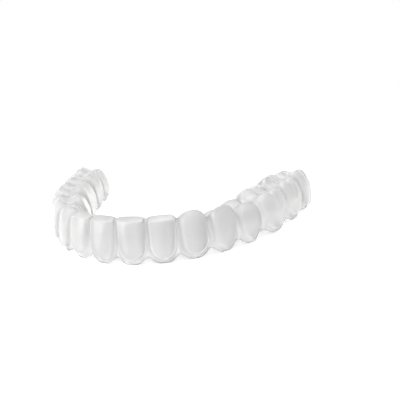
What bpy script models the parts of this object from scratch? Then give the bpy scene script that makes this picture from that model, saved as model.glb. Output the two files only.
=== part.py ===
"""Clear aligner for the lower teeth: one thin thermoformed shell over sixteen crowns.

The shell stands on its trimmed edge with the biting surfaces up. X runs across the mouth, the
front teeth face -Y, the open ends of the arch point to +Y, and Z is zero on the plane that the
lowest lobes of the trimmed edge rest on.

The outer skin is worked out in arch coordinates: the distance along the arch line, the distance
from that line towards the cheek, and the height. The inner skin is worked out the same way with
softer bends, one wall thickness further in, and a flat cut edge joins the two.
"""

from collections import namedtuple
from math import pi, radians

import bpy
import numpy as np

MM = 0.001

# Sheet
WALL = 0.65 * MM

# Arch line, which runs through the middle of the teeth
ARCH_BEND = 27.6 * MM
ARCH_TURN = radians(81.5)
ARCH_SHARPNESS = 2.7

# Crowns of one side, from the midline to the back. Width is along the arch, heights are over the
# resting plane, and feet and tips are distances from the arch line, at the trimmed edge and at
# the biting edge. Relief is how far a face stands proud of the rim around it. Rounding of the
# shoulders is a share of the crown's half width, and bridge the share of the valleys beside the
# crown that the sheet spans near the biting edge.
Crown = namedtuple(
    "Crown",
    "width height tongue_rise cheek_foot tongue_foot cheek_tip tongue_tip"
    " cheek_relief tongue_relief corner_drop shoulder_round groove split edge_round tongue_swell"
    " bridge",
)
CENTRAL_INCISOR = Crown(
    width=6.0 * MM, height=9.1 * MM, tongue_rise=0.6 * MM,
    cheek_foot=1.6 * MM, tongue_foot=2.5 * MM, cheek_tip=1.6 * MM, tongue_tip=0.5 * MM,
    cheek_relief=0.75 * MM, tongue_relief=0.5 * MM, corner_drop=0.1 * MM,
    shoulder_round=0.35, groove=0.0 * MM, split=0.0 * MM,
    edge_round=0.35 * MM, tongue_swell=1.0, bridge=0.55,
)
LATERAL_INCISOR = Crown(
    width=6.1 * MM, height=9.0 * MM, tongue_rise=0.6 * MM,
    cheek_foot=1.6 * MM, tongue_foot=2.6 * MM, cheek_tip=1.5 * MM, tongue_tip=0.6 * MM,
    cheek_relief=0.75 * MM, tongue_relief=0.5 * MM, corner_drop=0.2 * MM,
    shoulder_round=0.35, groove=0.0 * MM, split=0.0 * MM,
    edge_round=0.35 * MM, tongue_swell=1.0, bridge=0.55,
)
CANINE = Crown(
    width=6.4 * MM, height=9.9 * MM, tongue_rise=-0.1 * MM,
    cheek_foot=1.9 * MM, tongue_foot=3.0 * MM, cheek_tip=1.3 * MM, tongue_tip=0.9 * MM,
    cheek_relief=0.75 * MM, tongue_relief=0.6 * MM, corner_drop=1.1 * MM,
    shoulder_round=1.3, groove=0.0 * MM, split=0.0 * MM,
    edge_round=1.5 * MM, tongue_swell=1.1, bridge=0.2,
)
FIRST_PREMOLAR = Crown(
    width=6.6 * MM, height=10.1 * MM, tongue_rise=-1.8 * MM,
    cheek_foot=2.5 * MM, tongue_foot=3.7 * MM, cheek_tip=1.8 * MM, tongue_tip=2.5 * MM,
    cheek_relief=0.75 * MM, tongue_relief=0.7 * MM, corner_drop=1.6 * MM,
    shoulder_round=1.2, groove=0.8 * MM, split=0.0 * MM,
    edge_round=1.6 * MM, tongue_swell=1.6, bridge=0.0,
)
SECOND_PREMOLAR = Crown(
    width=7.2 * MM, height=8.8 * MM, tongue_rise=0.1 * MM,
    cheek_foot=3.2 * MM, tongue_foot=4.4 * MM, cheek_tip=2.2 * MM, tongue_tip=3.2 * MM,
    cheek_relief=0.75 * MM, tongue_relief=0.7 * MM, corner_drop=1.2 * MM,
    shoulder_round=1.1, groove=1.0 * MM, split=0.0 * MM,
    edge_round=1.6 * MM, tongue_swell=1.8, bridge=0.0,
)
FIRST_MOLAR = Crown(
    width=10.0 * MM, height=9.8 * MM, tongue_rise=0.3 * MM,
    cheek_foot=4.4 * MM, tongue_foot=4.4 * MM, cheek_tip=2.9 * MM, tongue_tip=3.0 * MM,
    cheek_relief=0.75 * MM, tongue_relief=0.75 * MM, corner_drop=1.0 * MM,
    shoulder_round=0.7, groove=1.3 * MM, split=0.9 * MM,
    edge_round=1.7 * MM, tongue_swell=2.0, bridge=0.2,
)
SECOND_MOLAR = Crown(
    width=9.2 * MM, height=10.1 * MM, tongue_rise=0.5 * MM,
    cheek_foot=4.5 * MM, tongue_foot=4.4 * MM, cheek_tip=2.8 * MM, tongue_tip=3.0 * MM,
    cheek_relief=0.75 * MM, tongue_relief=0.75 * MM, corner_drop=1.0 * MM,
    shoulder_round=0.7, groove=1.3 * MM, split=0.6 * MM,
    edge_round=1.7 * MM, tongue_swell=2.0, bridge=0.2,
)
THIRD_MOLAR = Crown(
    width=8.4 * MM, height=10.6 * MM, tongue_rise=-0.7 * MM,
    cheek_foot=4.4 * MM, tongue_foot=4.3 * MM, cheek_tip=2.7 * MM, tongue_tip=2.9 * MM,
    cheek_relief=0.75 * MM, tongue_relief=0.75 * MM, corner_drop=1.0 * MM,
    shoulder_round=0.8, groove=1.1 * MM, split=0.6 * MM,
    edge_round=1.8 * MM, tongue_swell=2.0, bridge=0.2,
)
CROWNS = (
    CENTRAL_INCISOR, LATERAL_INCISOR, CANINE, FIRST_PREMOLAR,
    SECOND_PREMOLAR, FIRST_MOLAR, SECOND_MOLAR, THIRD_MOLAR,
)

# The outer skin has crisp creases. The inner one is formed over them with softer bends, so the
# sheet is nowhere thinner than its wall.
Skin = namedtuple("Skin", "gap face_round edge_bend")
OUTER_SKIN = Skin(gap=0.45 * MM, face_round=0.5 * MM, edge_bend=0.0 * MM)
INNER_SKIN = Skin(gap=0.7 * MM, face_round=1.2 * MM, edge_bend=0.5 * MM)

# Valleys between neighbouring crowns
BORDER_BLEND = 1.4 * MM
CORNER_POWER = 2.2
TOP_VALLEY = 0.2 * MM
TOP_VALLEY_ROUND = 0.9 * MM
BRIDGE_REACH = 2.0 * MM

# Domed faces: the rim below them, and how their sides and rounded lower ends curve over
RIM = 0.75 * MM
FACE_TOP_OPEN = 0.9 * MM
LOWER_END_ROUND = 1.0
CHEEK_SWELL = 2.0
CHEEK_DOME = 0.7 * MM
TONGUE_DOME = 0.15 * MM
FACE_TAPER = 0.35 * MM
BELLY_HEIGHT = 3.2 * MM
BELLY_TUCK = 0.25 * MM
FACE_BLEND = 0.5 * MM

# Grooves that part the two cusps on each side of a molar
SPLIT_WIDTH = 0.22
CHEEK_SPLIT = 0.8
TONGUE_SPLIT = 0.3
SPLIT_START = 0.15
TONGUE_CUSPS = 0.6

# Distal ends of the arch
END_OUT = 0.2 * MM
END_ROUND = 3.6 * MM
END_LEAN = 0.9 * MM
END_PIVOT = 4.4 * MM
END_TRIM = 1.2 * MM

# Trimmed edge: lobes under the crowns and notches at the papillae
NOTCH_RISE = 2.0 * MM
NOTCH_ROUND = 0.4 * MM
LOBE_POWER = 2.2
REST_TRIM = 0.18 * MM
REST_TRIM_BLEND = 0.1 * MM

# Mesh density of each skin
STATIONS_PER_CROWN = 8
STATIONS_LAST_CROWN = 5
STATIONS_PER_END = 11
HUB_HEIGHT = 5.0 * MM
WALL_ROWS = (0.0, 0.2, 0.36, 0.66)
SHOULDER_ROWS = 3
SHOULDER_BELOW = 0.2 * MM
SHOULDER_OUT = 0.3 * MM
END_SHOULDER_IN = 1.0 * MM
TOP_ROWS = 3

# Solver and sampling steps
REACH = 12.0 * MM
BISECTIONS = 34
SPINE_STEP = 0.05 * MM
PROBE = 0.01 * MM
CREASE_ANGLE = radians(50.0)

CLEAR_PLASTIC = (0.86, 0.88, 0.89, 1.0)
CLEAR_ALPHA = 0.45
CLEAR_ROUGHNESS = 0.15
CLEAR_IOR = 1.5

EDGES = np.concatenate([[0.0], np.cumsum([crown.width for crown in CROWNS])])
ARCH_LENGTH = EDGES[-1]
PIVOT = ARCH_LENGTH - END_PIVOT


def smooth_max(a, b, reach):
    """The larger of two fields, with the corner between them rounded off."""
    overlap = np.maximum(reach - np.abs(a - b), 0.0) / reach
    return np.maximum(a, b) + 0.25 * reach * overlap * overlap


def smooth_min(a, b, reach):
    return -smooth_max(-a, -b, reach)


def ease(t):
    """Goes smoothly from 0 to 1 while t does."""
    t = np.clip(t, 0.0, 1.0)
    return t * t * (3.0 - 2.0 * t)


def rise(distance, reach):
    """Quarter sine from 0 at no distance to 1 at the full reach."""
    return np.sin(0.5 * pi * np.clip(distance / reach, 0.0, 1.0))


def arch_line():
    """Samples the arch line of one side: arc length, X, Y and heading."""
    s = np.arange(0.0, ARCH_LENGTH + REACH, SPINE_STEP)
    power = ARCH_SHARPNESS
    heading = ARCH_TURN * s / (s ** power + ARCH_BEND ** power) ** (1.0 / power)
    middle = 0.5 * (heading[1:] + heading[:-1])
    x = np.concatenate([[0.0], np.cumsum(np.cos(middle) * SPINE_STEP)])
    y = np.concatenate([[0.0], np.cumsum(np.sin(middle) * SPINE_STEP)])
    return s, x, y, heading


LINE_S, LINE_X, LINE_Y, LINE_HEADING = arch_line()


def to_world(s, b, z):
    """Arch coordinates to world ones. Negative s is the -X side."""
    side = np.where(s < 0.0, -1.0, 1.0)
    x = np.interp(np.abs(s), LINE_S, LINE_X)
    y = np.interp(np.abs(s), LINE_S, LINE_Y)
    heading = np.interp(np.abs(s), LINE_S, LINE_HEADING)
    return np.stack([side * (x + b * np.sin(heading)), y - b * np.cos(heading), z], axis=-1)


def along(name, s):
    """A crown dimension along the arch, eased across the borders between crowns."""
    values = [getattr(crown, name) for crown in CROWNS]
    total = np.full(np.shape(s), values[0], dtype=float)
    for edge, before, after in zip(EDGES[1:-1], values, values[1:]):
        total = total + (after - before) * ease((np.abs(s) - edge) / BORDER_BLEND + 0.5)
    return total


def tongue_height(s):
    return along("height", s) + along("tongue_rise", s)


def crown_place(s):
    """Half width of the crown at s, and the place across it from -1 to 1."""
    distance = np.abs(s)
    number = np.clip(np.searchsorted(EDGES, distance, side="right") - 1, 0, len(CROWNS) - 1)
    half = 0.5 * (EDGES[number + 1] - EDGES[number])
    place = (distance - EDGES[number]) / half - 1.0
    return half, place


def side_distance(s, skin):
    """Distance inside the nearer side outline of the crown's face. The last crown has no far side."""
    half, place = crown_place(s)
    beyond = (np.abs(s) > EDGES[-2]) & (place > 0.0)
    return half * (1.0 - np.where(beyond, 0.0, np.abs(place))) - 0.5 * skin.gap


def face_distance(s, z, height, skin):
    """Distance inside the sides and the rounded lower end of a crown's face."""
    taper = FACE_TAPER * np.clip(1.0 - z / height, 0.0, 1.0)
    return smooth_min(side_distance(s, skin) - taper, z - RIM, LOWER_END_ROUND * crown_place(s)[0])


def face_relief(s, z, height, skin):
    """0 on the rim and in the valleys, 1 on the domed face of a crown."""
    shoulder = along("shoulder_round", s) * crown_place(s)[0]
    inside = smooth_min(face_distance(s, z, height, skin), height + FACE_TOP_OPEN - z, shoulder)
    return rise(inside, skin.face_round)


def split_wave(s):
    """1 in the groove between a molar's cusps, 0 away from it."""
    place = crown_place(s)[1]
    return np.exp(-((place / SPLIT_WIDTH) ** 2))


def face(s, z, skin, foot, tip, relief, height, swell, dome, split):
    """Distance of one outer face from the arch line."""
    place = crown_place(s)[1]
    belly = foot + relief + BELLY_TUCK
    up = np.maximum(z - BELLY_HEIGHT, 0.0) / (height - BELLY_HEIGHT)
    down = np.maximum(BELLY_HEIGHT - z, 0.0) / BELLY_HEIGHT
    crest = belly - (belly - tip) * up ** swell - BELLY_TUCK * down * down
    sides = np.where(np.abs(s) > EDGES[-2] + 0.5 * CROWNS[-1].width, 0.0, place * place)
    cut = ease((up - SPLIT_START) / (1.0 - SPLIT_START))
    groove = split * along("split", s) * split_wave(s) * cut
    bridge = along("bridge", s) * ease((z - height + BRIDGE_REACH) / BRIDGE_REACH)
    valley = relief * (1.0 - face_relief(s, z, height, skin)) * (1.0 - bridge)
    return crest - dome * sides - valley - groove


def cheek_face(s, z, skin):
    return face(
        s, z, skin, along("cheek_foot", s), along("cheek_tip", s), along("cheek_relief", s),
        along("height", s), CHEEK_SWELL, CHEEK_DOME, CHEEK_SPLIT,
    )


def tongue_face(s, z, skin):
    return face(
        s, z, skin, along("tongue_foot", s), along("tongue_tip", s), along("tongue_relief", s),
        tongue_height(s), along("tongue_swell", s), TONGUE_DOME, TONGUE_SPLIT,
    )


def top_middle(s):
    return 0.5 * (along("cheek_tip", s) - along("tongue_tip", s))


def biting_surface(s, b, skin):
    """Height of the biting surface: two cusp ridges with a groove along the middle."""
    half_span = 0.5 * (along("cheek_tip", s) + along("tongue_tip", s))
    across = np.clip((b - top_middle(s)) / half_span, -1.0, 1.0)
    place = np.abs(crown_place(s)[1])
    cheek, tongue = along("height", s), tongue_height(s)
    ridge = tongue + (cheek - tongue) * ease(0.5 + 0.5 * across)
    groove = along("groove", s) * np.cos(0.5 * pi * across) ** 2
    corners = along("corner_drop", s) * place ** CORNER_POWER
    one_side = TONGUE_CUSPS + (1.0 - TONGUE_CUSPS) * ease(0.5 + 0.5 * across)
    split = along("split", s) * split_wave(s) * one_side
    valley = TOP_VALLEY * (1.0 - rise(side_distance(s, skin), TOP_VALLEY_ROUND))
    return ridge - groove - corners - split - valley


def end_wall(s, z, skin):
    """Field of the closed wall behind the last crown."""
    up = np.maximum(z - BELLY_HEIGHT, 0.0) / (CROWNS[-1].height - BELLY_HEIGHT)
    relief = CROWNS[-1].cheek_relief * (1.0 - rise(z - RIM, skin.face_round))
    return np.abs(s) - (ARCH_LENGTH + END_OUT - END_LEAN * up * up - relief)


def skin_field(s, b, z, skin):
    """Negative inside the skin, zero on it."""
    walls = smooth_max(b - cheek_face(s, z, skin), -b - tongue_face(s, z, skin), FACE_BLEND)
    walls = smooth_max(walls, end_wall(s, z, skin), END_ROUND)
    edge = along("edge_round", s) + skin.edge_bend
    return smooth_max(walls, z - biting_surface(s, b, skin), edge)


def trim_height(s):
    """Height of the trimmed edge: lobes under the crowns, rounded notches between them."""
    half, place = crown_place(s)
    border = half * (1.0 - np.abs(place))
    rounded = np.sqrt(border * border + NOTCH_ROUND * NOTCH_ROUND)
    scallop = NOTCH_RISE * np.clip(1.0 - rounded / half, 0.0, 1.0) ** LOBE_POWER
    return smooth_max(scallop - REST_TRIM, 0.0, REST_TRIM_BLEND)


def crown_stations(start, width, count):
    """Places along one crown, closer together at its two borders."""
    even = np.linspace(-1.0, 1.0, count, endpoint=False)
    return start + 0.5 * width * (1.0 + 0.5 * (even + np.sin(0.5 * pi * even)))


def side_stations():
    """Places along one side of the arch, from the midline to the pivot of the distal end."""
    places = [
        crown_stations(start, crown.width, STATIONS_PER_CROWN)
        for start, crown in zip(EDGES[:-2], CROWNS)
    ]
    places.append(np.linspace(EDGES[-2], PIVOT, STATIONS_LAST_CROWN))
    return np.concatenate(places)


def stations():
    """Closed loop of stations round the shell: place, turn towards the distal end, and top index.

    It runs along the cheek side from -X to +X, round the +X end, back along the tongue side, and
    round the -X end. Stations that face each other across the arch share a top index.
    """
    one_side = side_stations()
    row = np.concatenate([-one_side[:0:-1], one_side])
    count = len(row)
    fan = np.linspace(0.5 * pi, -0.5 * pi, STATIONS_PER_END + 2)[1:-1]
    s = np.concatenate([row, np.full(fan.shape, PIVOT), row[::-1], np.full(fan.shape, -PIVOT)])
    turn = np.concatenate(
        [np.full(count, 0.5 * pi), fan, np.full(count, -0.5 * pi), fan[::-1]]
    )
    top = np.concatenate(
        [
            np.arange(count), np.full(fan.shape, count - 1),
            np.arange(count)[::-1], np.zeros(fan.shape, dtype=int),
        ]
    )
    return s, turn, top


def find_skin(s, turn, start_height, slope, skin):
    """Casts one ray per point from the arch line and returns where it meets the skin."""
    side = np.where(s < 0.0, -1.0, 1.0)
    step_s = side * np.cos(turn) * np.cos(slope)
    step_b = np.sin(turn) * np.cos(slope)
    step_z = np.sin(slope)
    middle = top_middle(s)
    near = np.zeros(s.shape)
    far = np.full(s.shape, REACH)
    for _ in range(BISECTIONS):
        reach = 0.5 * (near + far)
        place, b, z = s + reach * step_s, middle + reach * step_b, start_height + reach * step_z
        inside = skin_field(place, b, z, skin) < 0.0
        near = np.where(inside, reach, near)
        far = np.where(inside, far, reach)
    reach = 0.5 * (near + far)
    return s + reach * step_s, middle + reach * step_b, start_height + reach * step_z


def outward(s, b, z, skin):
    """World direction of the steepest rise of the skin's field."""
    ds = skin_field(s + PROBE, b, z, skin) - skin_field(s - PROBE, b, z, skin)
    db = skin_field(s, b + PROBE, z, skin) - skin_field(s, b - PROBE, z, skin)
    dz = skin_field(s, b, z + PROBE, skin) - skin_field(s, b, z - PROBE, skin)
    along_s = to_world(s + PROBE, b, z) - to_world(s - PROBE, b, z)
    along_b = to_world(s, b + PROBE, z) - to_world(s, b - PROBE, z)
    stretch = np.sum(along_s ** 2, axis=-1)
    flat = along_s * (ds / stretch)[..., None] + along_b * (db / (2.0 * PROBE) ** 2)[..., None]
    normal = flat + np.stack([0.0 * dz, 0.0 * dz, dz / (2.0 * PROBE)], axis=-1)
    return normal / np.linalg.norm(normal, axis=-1, keepdims=True)


def row_heights(trim):
    """Heights of the rays that leave the hub line level, from the trimmed edge up."""
    return [trim + share * (HUB_HEIGHT - trim) for share in WALL_ROWS]


def build_skins():
    """World points of the outer and the inner skin, as arrays of rows by stations."""
    s, turn, top = stations()
    at_end = np.abs(turn) < 0.5 * pi
    end_share = np.where(at_end, ease(np.cos(turn)), 0.0)
    trim = trim_height(s) * (1.0 - end_share) + END_TRIM * end_share
    rows = [(height, np.zeros(s.shape)) for height in row_heights(trim)]
    tip = np.where(turn > 0.0, along("cheek_tip", s), along("tongue_tip", s))
    tip = np.where(at_end, END_PIVOT - END_LEAN - END_SHOULDER_IN, tip)
    reach_up = np.where(turn > 0.0, along("height", s), tongue_height(s)) - HUB_HEIGHT
    reach_out = np.abs(tip - np.sign(turn) * top_middle(s))
    shoulder = np.arctan2(reach_up - SHOULDER_BELOW, reach_out + SHOULDER_OUT)
    hub = np.full(s.shape, HUB_HEIGHT)
    for number in range(SHOULDER_ROWS):
        rows.append((hub, shoulder * number / SHOULDER_ROWS))
    for number in range(TOP_ROWS + 1):
        rows.append((hub, shoulder + (0.5 * pi - shoulder) * number / TOP_ROWS))
    outer, inner = [], []
    for height, slope in rows:
        place, b, z = find_skin(s, turn, height, slope, OUTER_SKIN)
        outer.append(to_world(place, b, z))
        place, b, z = find_skin(s, turn, height, slope, INNER_SKIN)
        normal = outward(place, b, z, INNER_SKIN)
        if not inner:
            level = normal * np.array([1.0, 1.0, 0.0])
            normal = level / np.sum(level ** 2, axis=-1, keepdims=True)
        inner.append(to_world(place, b, z) - WALL * normal)
    return np.array(outer), np.array(inner), top


def skin_indices(row_count, station_count, top, start):
    """Vertex numbers of one skin by row and station. The last row is shared along the arch."""
    below = np.arange((row_count - 1) * station_count).reshape(row_count - 1, station_count)
    return np.vstack([below, below.size + top]) + start


def skin_faces(indices, flip):
    """Quads between neighbouring rows and stations, with triangles round the two poles."""
    faces = []
    after = np.roll(indices, -1, axis=1)
    for low, low_next, high, high_next in zip(indices[:-1], after[:-1], indices[1:], after[1:]):
        for corners in zip(low, low_next, high_next, high):
            ring = list(dict.fromkeys(int(corner) for corner in corners))
            faces.append(ring[::-1] if flip else ring)
    return faces


def skin_points(points, top):
    """Vertex positions of one skin, with its last row given once for each top index."""
    first = np.unique(top, return_index=True)[1]
    return np.concatenate([points[:-1].reshape(-1, 3), points[-1][first]])


def make_material():
    material = bpy.data.materials.new("clear_plastic")
    material.use_nodes = True
    shader = material.node_tree.nodes["Principled BSDF"]
    shader.inputs["Base Color"].default_value = CLEAR_PLASTIC
    shader.inputs["Metallic"].default_value = 0.0
    shader.inputs["Roughness"].default_value = CLEAR_ROUGHNESS
    shader.inputs["IOR"].default_value = CLEAR_IOR
    shader.inputs["Alpha"].default_value = CLEAR_ALPHA
    return material


def make_shell():
    """The whole aligner as one closed body."""
    outer, inner, top = build_skins()
    row_count, station_count = outer.shape[:2]
    outer_points = skin_points(outer, top)
    inner_points = skin_points(inner, top)
    outer_indices = skin_indices(row_count, station_count, top, 0)
    inner_indices = skin_indices(row_count, station_count, top, len(outer_points))
    faces = skin_faces(outer_indices, flip=False) + skin_faces(inner_indices, flip=True)
    edge_out, edge_in = outer_indices[0], inner_indices[0]
    for out, within, next_in, next_out in zip(
        edge_out, edge_in, np.roll(edge_in, -1), np.roll(edge_out, -1)
    ):
        faces.append([int(out), int(within), int(next_in), int(next_out)])
    points = np.concatenate([outer_points, inner_points])
    low, high = points[:, 1].min(), points[:, 1].max()
    points[:, 1] -= 0.5 * (low + high)
    mesh = bpy.data.meshes.new("aligner_shell")
    mesh.from_pydata(points.tolist(), [], faces)
    mesh.materials.append(make_material())
    mesh.shade_smooth()
    mesh.set_sharp_from_angle(angle=CREASE_ANGLE)
    shell = bpy.data.objects.new("aligner_shell", mesh)
    bpy.context.collection.objects.link(shell)
    return shell


def main():
    for item in list(bpy.data.objects):
        bpy.data.objects.remove(item, do_unlink=True)
    make_shell()


main()
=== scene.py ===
"""Looks of the clear aligner: the finely meshed shell, its plastic, the studio and the camera."""

from collections import namedtuple
from math import cos, pi, radians, sin

import bpy
import numpy as np
from mathutils import Matrix, Vector


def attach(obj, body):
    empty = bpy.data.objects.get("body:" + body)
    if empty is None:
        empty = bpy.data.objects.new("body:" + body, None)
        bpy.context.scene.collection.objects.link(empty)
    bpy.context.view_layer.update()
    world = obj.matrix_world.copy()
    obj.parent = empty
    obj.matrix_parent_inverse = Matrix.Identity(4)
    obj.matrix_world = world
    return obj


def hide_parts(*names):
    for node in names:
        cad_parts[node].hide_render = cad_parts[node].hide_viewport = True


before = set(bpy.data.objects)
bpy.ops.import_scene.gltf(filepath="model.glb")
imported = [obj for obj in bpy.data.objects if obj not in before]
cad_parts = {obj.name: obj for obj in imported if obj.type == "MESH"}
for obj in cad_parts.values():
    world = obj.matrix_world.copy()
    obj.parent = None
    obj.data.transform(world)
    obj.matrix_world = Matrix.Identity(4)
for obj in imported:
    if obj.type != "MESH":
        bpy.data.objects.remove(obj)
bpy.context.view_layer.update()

MM = 0.001

# Sheet
WALL = 0.65 * MM

# Arch line, which runs through the middle of the teeth
ARCH_BEND = 27.6 * MM
ARCH_TURN = radians(81.5)
ARCH_SHARPNESS = 2.7

# Crowns of one side, from the midline to the back. Width is along the arch, heights are over the
# resting plane, and feet and tips are distances from the arch line, at the trimmed edge and at
# the biting edge. Relief is how far a face stands proud of the rim around it. Rounding of the
# shoulders is a share of the crown's half width, and bridge the share of the valleys beside the
# crown that the sheet spans near the biting edge.
Crown = namedtuple(
    "Crown",
    "width height tongue_rise cheek_foot tongue_foot cheek_tip tongue_tip"
    " cheek_relief tongue_relief corner_drop shoulder_round groove split edge_round tongue_swell"
    " bridge",
)
CENTRAL_INCISOR = Crown(
    width=6.0 * MM, height=9.1 * MM, tongue_rise=0.6 * MM,
    cheek_foot=1.6 * MM, tongue_foot=2.5 * MM, cheek_tip=1.6 * MM, tongue_tip=0.5 * MM,
    cheek_relief=0.75 * MM, tongue_relief=0.5 * MM, corner_drop=0.1 * MM,
    shoulder_round=0.35, groove=0.0 * MM, split=0.0 * MM,
    edge_round=0.35 * MM, tongue_swell=1.0, bridge=0.55,
)
LATERAL_INCISOR = Crown(
    width=6.1 * MM, height=9.0 * MM, tongue_rise=0.6 * MM,
    cheek_foot=1.6 * MM, tongue_foot=2.6 * MM, cheek_tip=1.5 * MM, tongue_tip=0.6 * MM,
    cheek_relief=0.75 * MM, tongue_relief=0.5 * MM, corner_drop=0.2 * MM,
    shoulder_round=0.35, groove=0.0 * MM, split=0.0 * MM,
    edge_round=0.35 * MM, tongue_swell=1.0, bridge=0.55,
)
CANINE = Crown(
    width=6.4 * MM, height=9.9 * MM, tongue_rise=-0.1 * MM,
    cheek_foot=1.9 * MM, tongue_foot=3.0 * MM, cheek_tip=1.3 * MM, tongue_tip=0.9 * MM,
    cheek_relief=0.75 * MM, tongue_relief=0.6 * MM, corner_drop=1.1 * MM,
    shoulder_round=1.3, groove=0.0 * MM, split=0.0 * MM,
    edge_round=1.5 * MM, tongue_swell=1.1, bridge=0.2,
)
FIRST_PREMOLAR = Crown(
    width=6.6 * MM, height=10.1 * MM, tongue_rise=-1.8 * MM,
    cheek_foot=2.5 * MM, tongue_foot=3.7 * MM, cheek_tip=1.8 * MM, tongue_tip=2.5 * MM,
    cheek_relief=0.75 * MM, tongue_relief=0.7 * MM, corner_drop=1.6 * MM,
    shoulder_round=1.2, groove=0.8 * MM, split=0.0 * MM,
    edge_round=1.6 * MM, tongue_swell=1.6, bridge=0.0,
)
SECOND_PREMOLAR = Crown(
    width=7.2 * MM, height=8.8 * MM, tongue_rise=0.1 * MM,
    cheek_foot=3.2 * MM, tongue_foot=4.4 * MM, cheek_tip=2.2 * MM, tongue_tip=3.2 * MM,
    cheek_relief=0.75 * MM, tongue_relief=0.7 * MM, corner_drop=1.2 * MM,
    shoulder_round=1.1, groove=1.0 * MM, split=0.0 * MM,
    edge_round=1.6 * MM, tongue_swell=1.8, bridge=0.0,
)
FIRST_MOLAR = Crown(
    width=10.0 * MM, height=9.8 * MM, tongue_rise=0.3 * MM,
    cheek_foot=4.4 * MM, tongue_foot=4.4 * MM, cheek_tip=2.9 * MM, tongue_tip=3.0 * MM,
    cheek_relief=0.75 * MM, tongue_relief=0.75 * MM, corner_drop=1.0 * MM,
    shoulder_round=0.7, groove=1.3 * MM, split=0.9 * MM,
    edge_round=1.7 * MM, tongue_swell=2.0, bridge=0.2,
)
SECOND_MOLAR = Crown(
    width=9.2 * MM, height=10.1 * MM, tongue_rise=0.5 * MM,
    cheek_foot=4.5 * MM, tongue_foot=4.4 * MM, cheek_tip=2.8 * MM, tongue_tip=3.0 * MM,
    cheek_relief=0.75 * MM, tongue_relief=0.75 * MM, corner_drop=1.0 * MM,
    shoulder_round=0.7, groove=1.3 * MM, split=0.6 * MM,
    edge_round=1.7 * MM, tongue_swell=2.0, bridge=0.2,
)
THIRD_MOLAR = Crown(
    width=8.4 * MM, height=10.6 * MM, tongue_rise=-0.7 * MM,
    cheek_foot=4.4 * MM, tongue_foot=4.3 * MM, cheek_tip=2.7 * MM, tongue_tip=2.9 * MM,
    cheek_relief=0.75 * MM, tongue_relief=0.75 * MM, corner_drop=1.0 * MM,
    shoulder_round=0.8, groove=1.1 * MM, split=0.6 * MM,
    edge_round=1.8 * MM, tongue_swell=2.0, bridge=0.2,
)
CROWNS = (
    CENTRAL_INCISOR, LATERAL_INCISOR, CANINE, FIRST_PREMOLAR,
    SECOND_PREMOLAR, FIRST_MOLAR, SECOND_MOLAR, THIRD_MOLAR,
)

# The outer skin has crisp creases. The inner one is formed over them with softer bends, so the
# sheet is nowhere thinner than its wall.
Skin = namedtuple("Skin", "gap face_round edge_bend")
OUTER_SKIN = Skin(gap=0.45 * MM, face_round=0.5 * MM, edge_bend=0.0 * MM)
INNER_SKIN = Skin(gap=0.7 * MM, face_round=1.2 * MM, edge_bend=0.5 * MM)

# Valleys between neighbouring crowns
BORDER_BLEND = 1.4 * MM
CORNER_POWER = 2.2
TOP_VALLEY = 0.2 * MM
TOP_VALLEY_ROUND = 0.9 * MM
BRIDGE_REACH = 2.0 * MM

# Domed faces: the rim below them, and how their sides and rounded lower ends curve over
RIM = 0.75 * MM
FACE_TOP_OPEN = 0.9 * MM
LOWER_END_ROUND = 1.0
CHEEK_SWELL = 2.0
CHEEK_DOME = 0.7 * MM
TONGUE_DOME = 0.15 * MM
FACE_TAPER = 0.35 * MM
BELLY_HEIGHT = 3.2 * MM
BELLY_TUCK = 0.25 * MM
FACE_BLEND = 0.5 * MM

# Grooves that part the two cusps on each side of a molar
SPLIT_WIDTH = 0.22
CHEEK_SPLIT = 0.8
TONGUE_SPLIT = 0.3
SPLIT_START = 0.15
TONGUE_CUSPS = 0.6

# Distal ends of the arch
END_OUT = 0.2 * MM
END_ROUND = 3.6 * MM
END_LEAN = 0.9 * MM
END_PIVOT = 4.4 * MM
END_TRIM = 1.2 * MM

# Trimmed edge: lobes under the crowns and notches at the papillae
NOTCH_RISE = 2.0 * MM
NOTCH_ROUND = 0.4 * MM
LOBE_POWER = 2.2
REST_TRIM = 0.18 * MM
REST_TRIM_BLEND = 0.1 * MM

# Mesh density of each skin
STATIONS_PER_CROWN = 36
STATIONS_LAST_CROWN = 20
STATIONS_PER_END = 40
HUB_HEIGHT = 5.0 * MM
WALL_ROWS = tuple(np.linspace(0.0, 1.0, 15, endpoint=False))
SHOULDER_ROWS = 13
SHOULDER_BELOW = 0.2 * MM
SHOULDER_OUT = 0.3 * MM
END_SHOULDER_IN = 1.0 * MM
TOP_ROWS = 11

# Solver and sampling steps
REACH = 12.0 * MM
BISECTIONS = 34
SPINE_STEP = 0.05 * MM
PROBE = 0.01 * MM
CREASE_ANGLE = radians(50.0)

EDGES = np.concatenate([[0.0], np.cumsum([crown.width for crown in CROWNS])])
ARCH_LENGTH = EDGES[-1]
PIVOT = ARCH_LENGTH - END_PIVOT


def smooth_max(a, b, reach):
    """The larger of two fields, with the corner between them rounded off."""
    overlap = np.maximum(reach - np.abs(a - b), 0.0) / reach
    return np.maximum(a, b) + 0.25 * reach * overlap * overlap


def smooth_min(a, b, reach):
    return -smooth_max(-a, -b, reach)


def ease(t):
    """Goes smoothly from 0 to 1 while t does."""
    t = np.clip(t, 0.0, 1.0)
    return t * t * (3.0 - 2.0 * t)


def rise(distance, reach):
    """Quarter sine from 0 at no distance to 1 at the full reach."""
    return np.sin(0.5 * pi * np.clip(distance / reach, 0.0, 1.0))


def arch_line():
    """Samples the arch line of one side: arc length, X, Y and heading."""
    s = np.arange(0.0, ARCH_LENGTH + REACH, SPINE_STEP)
    power = ARCH_SHARPNESS
    heading = ARCH_TURN * s / (s ** power + ARCH_BEND ** power) ** (1.0 / power)
    middle = 0.5 * (heading[1:] + heading[:-1])
    x = np.concatenate([[0.0], np.cumsum(np.cos(middle) * SPINE_STEP)])
    y = np.concatenate([[0.0], np.cumsum(np.sin(middle) * SPINE_STEP)])
    return s, x, y, heading


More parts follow.
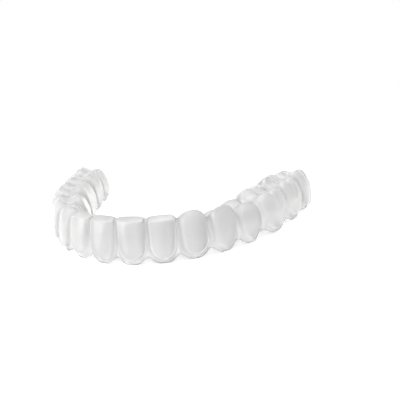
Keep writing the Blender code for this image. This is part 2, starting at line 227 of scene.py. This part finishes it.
LINE_S, LINE_X, LINE_Y, LINE_HEADING = arch_line()


def to_world(s, b, z):
    """Arch coordinates to world ones. Negative s is the -X side."""
    side = np.where(s < 0.0, -1.0, 1.0)
    x = np.interp(np.abs(s), LINE_S, LINE_X)
    y = np.interp(np.abs(s), LINE_S, LINE_Y)
    heading = np.interp(np.abs(s), LINE_S, LINE_HEADING)
    return np.stack([side * (x + b * np.sin(heading)), y - b * np.cos(heading), z], axis=-1)


def along(name, s):
    """A crown dimension along the arch, eased across the borders between crowns."""
    values = [getattr(crown, name) for crown in CROWNS]
    total = np.full(np.shape(s), values[0], dtype=float)
    for edge, before, after in zip(EDGES[1:-1], values, values[1:]):
        total = total + (after - before) * ease((np.abs(s) - edge) / BORDER_BLEND + 0.5)
    return total


def tongue_height(s):
    return along("height", s) + along("tongue_rise", s)


def crown_place(s):
    """Half width of the crown at s, and the place across it from -1 to 1."""
    distance = np.abs(s)
    number = np.clip(np.searchsorted(EDGES, distance, side="right") - 1, 0, len(CROWNS) - 1)
    half = 0.5 * (EDGES[number + 1] - EDGES[number])
    place = (distance - EDGES[number]) / half - 1.0
    return half, place


def side_distance(s, skin):
    """Distance inside the nearer side outline of the crown's face. The last crown has no far side."""
    half, place = crown_place(s)
    beyond = (np.abs(s) > EDGES[-2]) & (place > 0.0)
    return half * (1.0 - np.where(beyond, 0.0, np.abs(place))) - 0.5 * skin.gap


def face_distance(s, z, height, skin):
    """Distance inside the sides and the rounded lower end of a crown's face."""
    taper = FACE_TAPER * np.clip(1.0 - z / height, 0.0, 1.0)
    return smooth_min(side_distance(s, skin) - taper, z - RIM, LOWER_END_ROUND * crown_place(s)[0])


def face_relief(s, z, height, skin):
    """0 on the rim and in the valleys, 1 on the domed face of a crown."""
    shoulder = along("shoulder_round", s) * crown_place(s)[0]
    inside = smooth_min(face_distance(s, z, height, skin), height + FACE_TOP_OPEN - z, shoulder)
    return rise(inside, skin.face_round)


def split_wave(s):
    """1 in the groove between a molar's cusps, 0 away from it."""
    place = crown_place(s)[1]
    return np.exp(-((place / SPLIT_WIDTH) ** 2))


def face(s, z, skin, foot, tip, relief, height, swell, dome, split):
    """Distance of one outer face from the arch line."""
    place = crown_place(s)[1]
    belly = foot + relief + BELLY_TUCK
    up = np.maximum(z - BELLY_HEIGHT, 0.0) / (height - BELLY_HEIGHT)
    down = np.maximum(BELLY_HEIGHT - z, 0.0) / BELLY_HEIGHT
    crest = belly - (belly - tip) * up ** swell - BELLY_TUCK * down * down
    sides = np.where(np.abs(s) > EDGES[-2] + 0.5 * CROWNS[-1].width, 0.0, place * place)
    cut = ease((up - SPLIT_START) / (1.0 - SPLIT_START))
    groove = split * along("split", s) * split_wave(s) * cut
    bridge = along("bridge", s) * ease((z - height + BRIDGE_REACH) / BRIDGE_REACH)
    valley = relief * (1.0 - face_relief(s, z, height, skin)) * (1.0 - bridge)
    return crest - dome * sides - valley - groove


def cheek_face(s, z, skin):
    return face(
        s, z, skin, along("cheek_foot", s), along("cheek_tip", s), along("cheek_relief", s),
        along("height", s), CHEEK_SWELL, CHEEK_DOME, CHEEK_SPLIT,
    )


def tongue_face(s, z, skin):
    return face(
        s, z, skin, along("tongue_foot", s), along("tongue_tip", s), along("tongue_relief", s),
        tongue_height(s), along("tongue_swell", s), TONGUE_DOME, TONGUE_SPLIT,
    )


def top_middle(s):
    return 0.5 * (along("cheek_tip", s) - along("tongue_tip", s))


def biting_surface(s, b, skin):
    """Height of the biting surface: two cusp ridges with a groove along the middle."""
    half_span = 0.5 * (along("cheek_tip", s) + along("tongue_tip", s))
    across = np.clip((b - top_middle(s)) / half_span, -1.0, 1.0)
    place = np.abs(crown_place(s)[1])
    cheek, tongue = along("height", s), tongue_height(s)
    ridge = tongue + (cheek - tongue) * ease(0.5 + 0.5 * across)
    groove = along("groove", s) * np.cos(0.5 * pi * across) ** 2
    corners = along("corner_drop", s) * place ** CORNER_POWER
    one_side = TONGUE_CUSPS + (1.0 - TONGUE_CUSPS) * ease(0.5 + 0.5 * across)
    split = along("split", s) * split_wave(s) * one_side
    valley = TOP_VALLEY * (1.0 - rise(side_distance(s, skin), TOP_VALLEY_ROUND))
    return ridge - groove - corners - split - valley


def end_wall(s, z, skin):
    """Field of the closed wall behind the last crown."""
    up = np.maximum(z - BELLY_HEIGHT, 0.0) / (CROWNS[-1].height - BELLY_HEIGHT)
    relief = CROWNS[-1].cheek_relief * (1.0 - rise(z - RIM, skin.face_round))
    return np.abs(s) - (ARCH_LENGTH + END_OUT - END_LEAN * up * up - relief)


def skin_field(s, b, z, skin):
    """Negative inside the skin, zero on it."""
    walls = smooth_max(b - cheek_face(s, z, skin), -b - tongue_face(s, z, skin), FACE_BLEND)
    walls = smooth_max(walls, end_wall(s, z, skin), END_ROUND)
    edge = along("edge_round", s) + skin.edge_bend
    return smooth_max(walls, z - biting_surface(s, b, skin), edge)


def trim_height(s):
    """Height of the trimmed edge: lobes under the crowns, rounded notches between them."""
    half, place = crown_place(s)
    border = half * (1.0 - np.abs(place))
    rounded = np.sqrt(border * border + NOTCH_ROUND * NOTCH_ROUND)
    scallop = NOTCH_RISE * np.clip(1.0 - rounded / half, 0.0, 1.0) ** LOBE_POWER
    return smooth_max(scallop - REST_TRIM, 0.0, REST_TRIM_BLEND)


def crown_stations(start, width, count):
    """Places along one crown, closer together at its two borders."""
    even = np.linspace(-1.0, 1.0, count, endpoint=False)
    return start + 0.5 * width * (1.0 + 0.5 * (even + np.sin(0.5 * pi * even)))


def side_stations():
    """Places along one side of the arch, from the midline to the pivot of the distal end."""
    places = [
        crown_stations(start, crown.width, STATIONS_PER_CROWN)
        for start, crown in zip(EDGES[:-2], CROWNS)
    ]
    places.append(np.linspace(EDGES[-2], PIVOT, STATIONS_LAST_CROWN))
    return np.concatenate(places)


def stations():
    """Closed loop of stations round the shell: place, turn towards the distal end, and top index.

    It runs along the cheek side from -X to +X, round the +X end, back along the tongue side, and
    round the -X end. Stations that face each other across the arch share a top index.
    """
    one_side = side_stations()
    row = np.concatenate([-one_side[:0:-1], one_side])
    count = len(row)
    fan = np.linspace(0.5 * pi, -0.5 * pi, STATIONS_PER_END + 2)[1:-1]
    s = np.concatenate([row, np.full(fan.shape, PIVOT), row[::-1], np.full(fan.shape, -PIVOT)])
    turn = np.concatenate(
        [np.full(count, 0.5 * pi), fan, np.full(count, -0.5 * pi), fan[::-1]]
    )
    top = np.concatenate(
        [
            np.arange(count), np.full(fan.shape, count - 1),
            np.arange(count)[::-1], np.zeros(fan.shape, dtype=int),
        ]
    )
    return s, turn, top


def find_skin(s, turn, start_height, slope, skin):
    """Casts one ray per point from the arch line and returns where it meets the skin."""
    side = np.where(s < 0.0, -1.0, 1.0)
    step_s = side * np.cos(turn) * np.cos(slope)
    step_b = np.sin(turn) * np.cos(slope)
    step_z = np.sin(slope)
    middle = top_middle(s)
    near = np.zeros(s.shape)
    far = np.full(s.shape, REACH)
    for _ in range(BISECTIONS):
        reach = 0.5 * (near + far)
        place, b, z = s + reach * step_s, middle + reach * step_b, start_height + reach * step_z
        inside = skin_field(place, b, z, skin) < 0.0
        near = np.where(inside, reach, near)
        far = np.where(inside, far, reach)
    reach = 0.5 * (near + far)
    return s + reach * step_s, middle + reach * step_b, start_height + reach * step_z


def outward(s, b, z, skin):
    """World direction of the steepest rise of the skin's field."""
    ds = skin_field(s + PROBE, b, z, skin) - skin_field(s - PROBE, b, z, skin)
    db = skin_field(s, b + PROBE, z, skin) - skin_field(s, b - PROBE, z, skin)
    dz = skin_field(s, b, z + PROBE, skin) - skin_field(s, b, z - PROBE, skin)
    along_s = to_world(s + PROBE, b, z) - to_world(s - PROBE, b, z)
    along_b = to_world(s, b + PROBE, z) - to_world(s, b - PROBE, z)
    stretch = np.sum(along_s ** 2, axis=-1)
    flat = along_s * (ds / stretch)[..., None] + along_b * (db / (2.0 * PROBE) ** 2)[..., None]
    normal = flat + np.stack([0.0 * dz, 0.0 * dz, dz / (2.0 * PROBE)], axis=-1)
    return normal / np.linalg.norm(normal, axis=-1, keepdims=True)


def row_heights(trim):
    """Heights of the rays that leave the hub line level, from the trimmed edge up."""
    return [trim + share * (HUB_HEIGHT - trim) for share in WALL_ROWS]


def build_skins():
    """World points of the outer and the inner skin, as arrays of rows by stations.

    Each point also gets how much of a crown's drawn-out face it lies on, from 0 to 1.
    """
    s, turn, top = stations()
    at_end = np.abs(turn) < 0.5 * pi
    end_share = np.where(at_end, ease(np.cos(turn)), 0.0)
    trim = trim_height(s) * (1.0 - end_share) + END_TRIM * end_share
    rows = [(height, np.zeros(s.shape)) for height in row_heights(trim)]
    tip = np.where(turn > 0.0, along("cheek_tip", s), along("tongue_tip", s))
    tip = np.where(at_end, END_PIVOT - END_LEAN - END_SHOULDER_IN, tip)
    reach_up = np.where(turn > 0.0, along("height", s), tongue_height(s)) - HUB_HEIGHT
    reach_out = np.abs(tip - np.sign(turn) * top_middle(s))
    shoulder = np.arctan2(reach_up - SHOULDER_BELOW, reach_out + SHOULDER_OUT)
    hub = np.full(s.shape, HUB_HEIGHT)
    for number in range(SHOULDER_ROWS):
        rows.append((hub, shoulder * number / SHOULDER_ROWS))
    for number in range(TOP_ROWS + 1):
        rows.append((hub, shoulder + (0.5 * pi - shoulder) * number / TOP_ROWS))
    outer, inner, drawn = [], [], []
    for height, slope in rows:
        place, b, z = find_skin(s, turn, height, slope, OUTER_SKIN)
        outer.append(to_world(place, b, z))
        inside = face_distance(place, z, along("height", place), OUTER_SKIN)
        drawn.append(rise(inside, OUTER_SKIN.face_round))
        place, b, z = find_skin(s, turn, height, slope, INNER_SKIN)
        normal = outward(place, b, z, INNER_SKIN)
        if not inner:
            level = normal * np.array([1.0, 1.0, 0.0])
            normal = level / np.sum(level ** 2, axis=-1, keepdims=True)
        inner.append(to_world(place, b, z) - WALL * normal)
    return np.array(outer), np.array(inner), np.array(drawn), top


def skin_indices(row_count, station_count, top, start):
    """Vertex numbers of one skin by row and station. The last row is shared along the arch."""
    below = np.arange((row_count - 1) * station_count).reshape(row_count - 1, station_count)
    return np.vstack([below, below.size + top]) + start


def skin_faces(indices, flip):
    """Quads between neighbouring rows and stations, with triangles round the two poles."""
    faces = []
    after = np.roll(indices, -1, axis=1)
    for low, low_next, high, high_next in zip(indices[:-1], after[:-1], indices[1:], after[1:]):
        for corners in zip(low, low_next, high_next, high):
            ring = list(dict.fromkeys(int(corner) for corner in corners))
            faces.append(ring[::-1] if flip else ring)
    return faces


def skin_points(points, top):
    """Vertex values of one skin, with its last row given once for each top index."""
    first = np.unique(top, return_index=True)[1]
    return np.concatenate([points[:-1].reshape((-1,) + points.shape[2:]), points[-1][first]])


# Plastic: clear in the rims and the webs, hazier on the drawn-out faces of the crowns, with
# bright rims where the eye runs along the sheet
HAZE = (0.96, 0.96, 0.958, 1.0)
CLEAR = (1.0, 1.0, 1.0, 1.0)
WHITE = (1.0, 1.0, 1.0, 1.0)
HAZY_TRANSMISSION = 0.5
CLEAR_TRANSMISSION = 0.7
PLASTIC_IOR = 1.3
COAT_ROUGHNESS = 0.08
RIM_SHEEN = 1.0
RIM_SHEEN_ROUGHNESS = 0.12
POLISH_LOW = 0.14
POLISH_HIGH = 0.24
GLOW_DEPTH = 3.0 * MM
FLOW_SCALE = 260.0

# Sockets of the colour mixing node, which has several of the same name
MIX_FIRST_COLOUR = 6
MIX_SECOND_COLOUR = 7
MIX_COLOUR_RESULT = 2


def socket(shader, name, value):
    shader.inputs[name].default_value = value


def ranged(tree, source, low, high):
    """A number that goes from low to high while the source goes from 0 to 1."""
    spread = tree.nodes.new("ShaderNodeMapRange")
    socket(spread, "To Min", low)
    socket(spread, "To Max", high)
    tree.links.new(source, spread.inputs["Value"])
    return spread.outputs["Result"]


def plastic_material():
    material = bpy.data.materials.new("clear_plastic_fine")
    material.use_nodes = True
    tree = material.node_tree
    shader = tree.nodes["Principled BSDF"]
    drawn = tree.nodes.new("ShaderNodeAttribute")
    drawn.attribute_name = "drawn"
    place = tree.nodes.new("ShaderNodeTexCoord")
    flow = tree.nodes.new("ShaderNodeTexNoise")
    socket(flow, "Scale", FLOW_SCALE)
    tree.links.new(place.outputs["Object"], flow.inputs["Vector"])
    tint = tree.nodes.new("ShaderNodeMix")
    tint.data_type = "RGBA"
    tint.inputs[MIX_FIRST_COLOUR].default_value = CLEAR
    tint.inputs[MIX_SECOND_COLOUR].default_value = HAZE
    tree.links.new(drawn.outputs["Fac"], tint.inputs[0])
    tree.links.new(tint.outputs[MIX_COLOUR_RESULT], shader.inputs["Base Color"])
    clarity = ranged(tree, drawn.outputs["Fac"], CLEAR_TRANSMISSION, HAZY_TRANSMISSION)
    tree.links.new(clarity, shader.inputs["Transmission Weight"])
    polish = ranged(tree, flow.outputs["Fac"], POLISH_LOW, POLISH_HIGH)
    tree.links.new(polish, shader.inputs["Roughness"])
    socket(shader, "IOR", PLASTIC_IOR)
    socket(shader, "Subsurface Weight", 1.0)
    socket(shader, "Subsurface Radius", (1.0, 1.0, 1.0))
    socket(shader, "Subsurface Scale", GLOW_DEPTH)
    socket(shader, "Coat Weight", 1.0)
    socket(shader, "Coat Roughness", COAT_ROUGHNESS)
    socket(shader, "Sheen Weight", RIM_SHEEN)
    socket(shader, "Sheen Roughness", RIM_SHEEN_ROUGHNESS)
    return material


def make_fine_shell():
    outer, inner, drawn, top = build_skins()
    row_count, station_count = outer.shape[:2]
    outer_points = skin_points(outer, top)
    inner_points = skin_points(inner, top)
    outer_indices = skin_indices(row_count, station_count, top, 0)
    inner_indices = skin_indices(row_count, station_count, top, len(outer_points))
    faces = skin_faces(outer_indices, flip=False) + skin_faces(inner_indices, flip=True)
    edge_out, edge_in = outer_indices[0], inner_indices[0]
    for out, within, next_in, next_out in zip(
        edge_out, edge_in, np.roll(edge_in, -1), np.roll(edge_out, -1)
    ):
        faces.append([int(out), int(within), int(next_in), int(next_out)])
    points = np.concatenate([outer_points, inner_points])
    low, high = points[:, 1].min(), points[:, 1].max()
    points[:, 1] -= 0.5 * (low + high)
    mesh = bpy.data.meshes.new("aligner_shell_fine")
    mesh.from_pydata(points.tolist(), [], faces)
    share = mesh.attributes.new("drawn", "FLOAT", "POINT")
    share.data.foreach_set("value", np.tile(skin_points(drawn, top), 2))
    mesh.materials.append(plastic_material())
    mesh.shade_smooth()
    mesh.set_sharp_from_angle(angle=CREASE_ANGLE)
    shell = bpy.data.objects.new("aligner_shell_fine", mesh)
    bpy.context.collection.objects.link(shell)
    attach(shell, "root")
    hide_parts("aligner_shell")
    return shell


# Camera
CAMERA_TURN = radians(17.3)
CAMERA_RISE = radians(15.96)
CAMERA_ROLL = radians(-3.22)
CAMERA_DISTANCE = 116.35 * MM
CAMERA_RIGHT = 10.51 * MM
CAMERA_UP = 2.09 * MM
CAMERA_AIM = Vector((0.0, -1.16 * MM, 4.8 * MM))
LENS = 43.2
SENSOR = 36.0


def make_camera():
    back = Vector((
        sin(CAMERA_TURN) * cos(CAMERA_RISE),
        -cos(CAMERA_TURN) * cos(CAMERA_RISE),
        sin(CAMERA_RISE),
    ))
    level = Vector((cos(CAMERA_TURN), sin(CAMERA_TURN), 0.0))
    upright = back.cross(level)
    right = level * cos(CAMERA_ROLL) + upright * sin(CAMERA_ROLL)
    up = upright * cos(CAMERA_ROLL) - level * sin(CAMERA_ROLL)
    place = CAMERA_AIM + back * CAMERA_DISTANCE + right * CAMERA_RIGHT + up * CAMERA_UP
    data = bpy.data.cameras.new("camera")
    data.sensor_width = SENSOR
    data.lens = LENS
    data.clip_start = 1.0 * MM
    camera = bpy.data.objects.new("camera", data)
    bpy.context.collection.objects.link(camera)
    axes = Matrix((right, up, back)).transposed().to_4x4()
    camera.matrix_world = Matrix.Translation(place) @ axes
    bpy.context.scene.camera = camera


# Studio: a white sweep of floor and world, a large soft lamp from the front left, one from above
FLOOR_HALF = 1.5
FLOOR_DROP = 0.05 * MM
FLOOR_COLOUR = (0.9, 0.9, 0.9, 1.0)
FLOOR_ROUGHNESS = 0.9
FLOOR_GLOW = 0.5
FLOOR_NEAR = 0.14
FLOOR_FAR = 0.4
WORLD_LIGHT = 0.555
WORLD_SEEN = 1.0
SIDE_LAMP = dict(place=(-0.38, -0.4, 0.25), size=0.55, power=1.9)
TOP_LAMP = dict(place=(0.05, 0.12, 0.5), size=0.5, power=1.0)


def seen_directly(tree):
    """1 for rays from the camera and for what gloss and clear plastic show, 0 for plain light."""
    path = tree.nodes.new("ShaderNodeLightPath")
    total = path.outputs["Is Camera Ray"]
    for name in ("Is Glossy Ray", "Is Transmission Ray"):
        either = tree.nodes.new("ShaderNodeMath")
        either.operation = "MAXIMUM"
        tree.links.new(total, either.inputs[0])
        tree.links.new(path.outputs[name], either.inputs[1])
        total = either.outputs[0]
    return total


def make_floor():
    mesh = bpy.data.meshes.new("floor")
    half = FLOOR_HALF
    corners = [(-half, -half, 0.0), (half, -half, 0.0), (half, half, 0.0), (-half, half, 0.0)]
    mesh.from_pydata(corners, [], [(0, 1, 2, 3)])
    floor = bpy.data.objects.new("floor", mesh)
    bpy.context.collection.objects.link(floor)
    material = bpy.data.materials.new("floor_white")
    material.use_nodes = True
    tree = material.node_tree
    shader = tree.nodes["Principled BSDF"]
    socket(shader, "Base Color", FLOOR_COLOUR)
    socket(shader, "Roughness", FLOOR_ROUGHNESS)
    socket(shader, "Emission Color", WHITE)
    glow = ranged(tree, seen_directly(tree), 0.0, FLOOR_GLOW)
    tree.links.new(glow, shader.inputs["Emission Strength"])
    place = tree.nodes.new("ShaderNodeTexCoord")
    reach = tree.nodes.new("ShaderNodeVectorMath")
    reach.operation = "LENGTH"
    tree.links.new(place.outputs["Object"], reach.inputs[0])
    fade = tree.nodes.new("ShaderNodeMapRange")
    fade.interpolation_type = "SMOOTHSTEP"
    socket(fade, "From Min", FLOOR_NEAR)
    socket(fade, "From Max", FLOOR_FAR)
    tree.links.new(reach.outputs["Value"], fade.inputs["Value"])
    open_air = tree.nodes.new("ShaderNodeBsdfTransparent")
    sweep = tree.nodes.new("ShaderNodeMixShader")
    tree.links.new(fade.outputs["Result"], sweep.inputs[0])
    tree.links.new(shader.outputs["BSDF"], sweep.inputs[1])
    tree.links.new(open_air.outputs["BSDF"], sweep.inputs[2])
    tree.links.new(sweep.outputs["Shader"], tree.nodes["Material Output"].inputs["Surface"])
    mesh.materials.append(material)
    floor.location.z = -FLOOR_DROP


def area_lamp(name, place, size, power):
    data = bpy.data.lights.new(name, "AREA")
    data.shape = "DISK"
    data.size = size
    data.energy = power
    lamp = bpy.data.objects.new(name, data)
    lamp.location = place
    lamp.rotation_euler = Vector(place).to_track_quat("Z", "Y").to_euler()
    bpy.context.collection.objects.link(lamp)


def make_world():
    world = bpy.data.worlds.new("studio")
    world.use_nodes = True
    tree = world.node_tree
    background = tree.nodes["Background"]
    socket(background, "Color", WHITE)
    strength = ranged(tree, seen_directly(tree), WORLD_LIGHT, WORLD_SEEN)
    tree.links.new(strength, background.inputs["Strength"])
    bpy.context.scene.world = world


make_fine_shell()
make_floor()
make_world()
area_lamp("side_lamp", **SIDE_LAMP)
area_lamp("top_lamp", **TOP_LAMP)
make_camera()
bpy.context.scene.view_settings.view_transform = "Standard"
